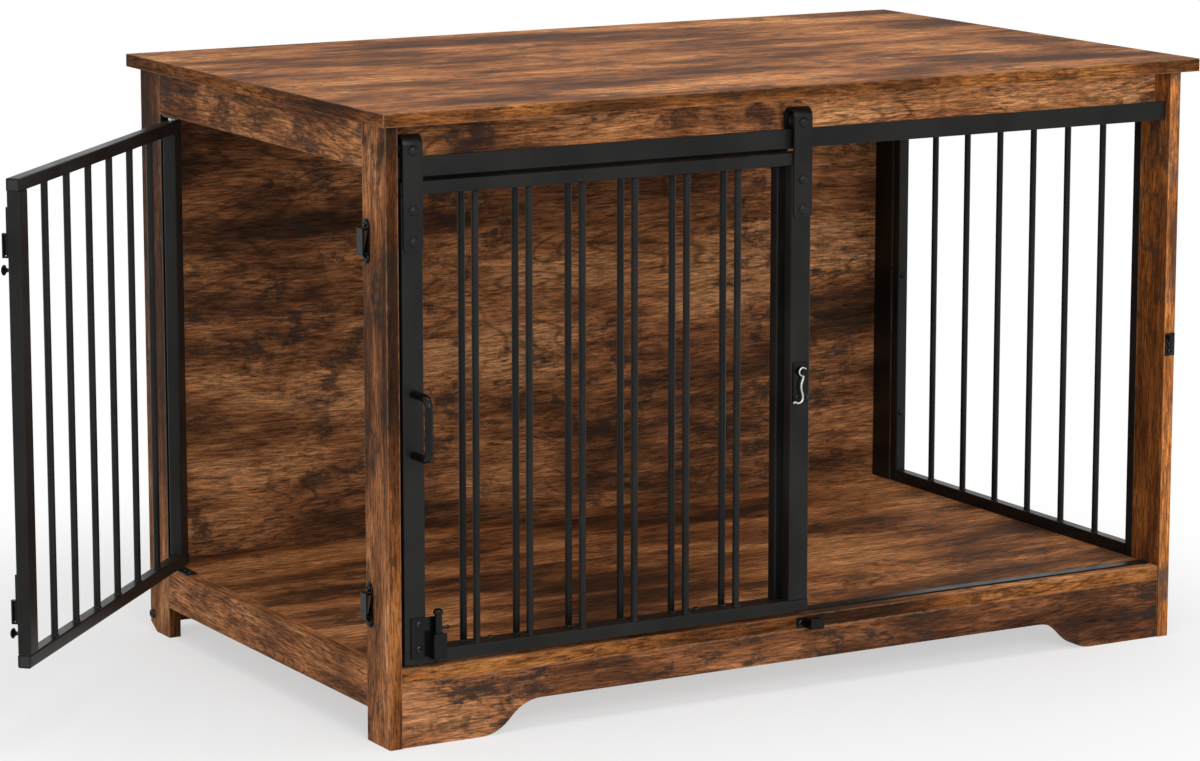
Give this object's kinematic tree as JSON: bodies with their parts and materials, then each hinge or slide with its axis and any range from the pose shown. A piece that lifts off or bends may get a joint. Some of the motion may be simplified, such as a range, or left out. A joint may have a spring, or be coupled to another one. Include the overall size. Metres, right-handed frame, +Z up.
{
  "type": "pet crate",
  "caption": "Furniture-style pet crate with a table top, a bar-grille door sliding on a barn-door track, a swing-out side door with slide latches and fixed grilles.",
  "frame": {"origin": "on the ground, at the centre of the stored model's bounding box, side door stored part open", "axes": "+X to the right as seen from the front, +Y to the back, +Z up; the sliding door is on the -Y face"},
  "size_m": [1.4272, 0.6995, 0.706],
  "materials": {
    "rustic_board": "printed rustic brown wood-grain foil on particle board, satin",
    "bare_wood": "plain beech dowel",
    "black_steel": "satin black powder coat",
    "plated_steel": "zinc-plated",
    "black_nylon": "matt black nylon"
  },
  "bodies": {
    "crate": {"top_board": "rustic_board", "front_left_post": "rustic_board", "front_right_post": "rustic_board", "back_left_post": "rustic_board", "back_right_post": "rustic_board", "left_upper_rail": "rustic_board", "right_upper_rail": "rustic_board", "left_lower_rail": "rustic_board", "right_lower_rail": "rustic_board", "front_fascia": "rustic_board", "front_apron": "rustic_board", "floor_panel": "rustic_board", "back_panel": "rustic_board", "grille_cleat": "rustic_board", "wood_dowels": "bare_wood", "cam_locks": "plated_steel", "cam_bolts": "plated_steel", "back_panel_bolts": "plated_steel", "slide_rail": "black_steel", "rail_standoffs": "black_steel", "rail_bolts": "plated_steel", "fixed_grille_frame": "black_steel", "fixed_grille_bars": "black_steel", "right_grille_frame": "black_steel", "right_grille_bars": "black_steel", "grille_screws": "plated_steel", "right_jamb_plate": "black_steel", "threshold_strip": "black_steel", "side_door_keepers": "black_steel", "floor_keeper": "black_steel", "hook_catch": "black_steel", "keeper_screws": "plated_steel", "side_door_jamb": "black_steel", "pivot_brackets": "black_steel", "pivot_pins": "plated_steel", "pivot_washers": "black_nylon", "pivot_screws": "plated_steel"},
    "barn_door": {"barn_door_frame": "black_steel", "barn_door_bars": "black_steel", "barn_door_plugs": "black_nylon", "left_hanger": "black_steel", "right_hanger": "black_steel", "hanger_bolts": "black_steel", "axle_spacers": "plated_steel", "pull_handle": "black_steel", "barn_door_screws": "plated_steel", "floor_bolt_housing": "black_steel", "hook_base": "black_steel"},
    "left_door_roller": {"left_roller": "black_nylon"},
    "right_door_roller": {"right_roller": "black_nylon"},
    "drop_bolt": {"floor_bolt": "black_steel"},
    "door_hook": {"swing_hook": "plated_steel"},
    "side_door": {"side_door_frame": "black_steel", "side_door_bars": "black_steel", "side_door_plugs": "black_nylon", "latch_plates": "black_steel", "latch_screws": "plated_steel"},
    "upper_latch": {"upper_latch_slide": "black_steel"},
    "lower_latch": {"lower_latch_slide": "black_steel"}
  },
  "joints": [
    {"name": "barn_door_slide", "type": "slide", "parent": "crate", "child": "barn_door", "axis": [1, 0, 0], "range_m": [0, 0.49]},
    {"name": "left_roller_spin", "type": "hinge", "parent": "barn_door", "child": "left_door_roller", "pos_m": [-0.32635, -0.30075, 0.6623], "axis": [0, 1, 0], "range_deg": [0, 3520]},
    {"name": "right_roller_spin", "type": "hinge", "parent": "barn_door", "child": "right_door_roller", "pos_m": [0.16965, -0.30075, 0.6623], "axis": [0, 1, 0], "range_deg": [0, 3520]},
    {"name": "floor_bolt_drop", "type": "slide", "parent": "barn_door", "child": "drop_bolt", "axis": [0, 0, -1], "range_m": [0, 0.02]},
    {"name": "hook_swing", "type": "hinge", "parent": "barn_door", "child": "door_hook", "pos_m": [0.16965, -0.31515, 0.376], "axis": [0, -1, 0], "range_deg": [0, 110]},
    {"name": "side_door_swing", "type": "hinge", "parent": "crate", "child": "side_door", "pos_m": [-0.35085, 0.26325, 0.36], "axis": [0, 0, -1], "range_deg": [-43.5, 71.5]},
    {"name": "upper_latch_slide", "type": "slide", "parent": "side_door", "child": "upper_latch", "axis": [-0.6884, -0.7254, 0], "range_m": [0, 0.022]},
    {"name": "lower_latch_slide", "type": "slide", "parent": "side_door", "child": "lower_latch", "axis": [-0.6884, -0.7254, 0], "range_m": [0, 0.022]}
  ],
  "couplings": [
    {"joint": "left_roller_spin", "follows": "barn_door_slide", "rad_per_m": 125},
    {"joint": "right_roller_spin", "follows": "barn_door_slide", "rad_per_m": 125}
  ]
}
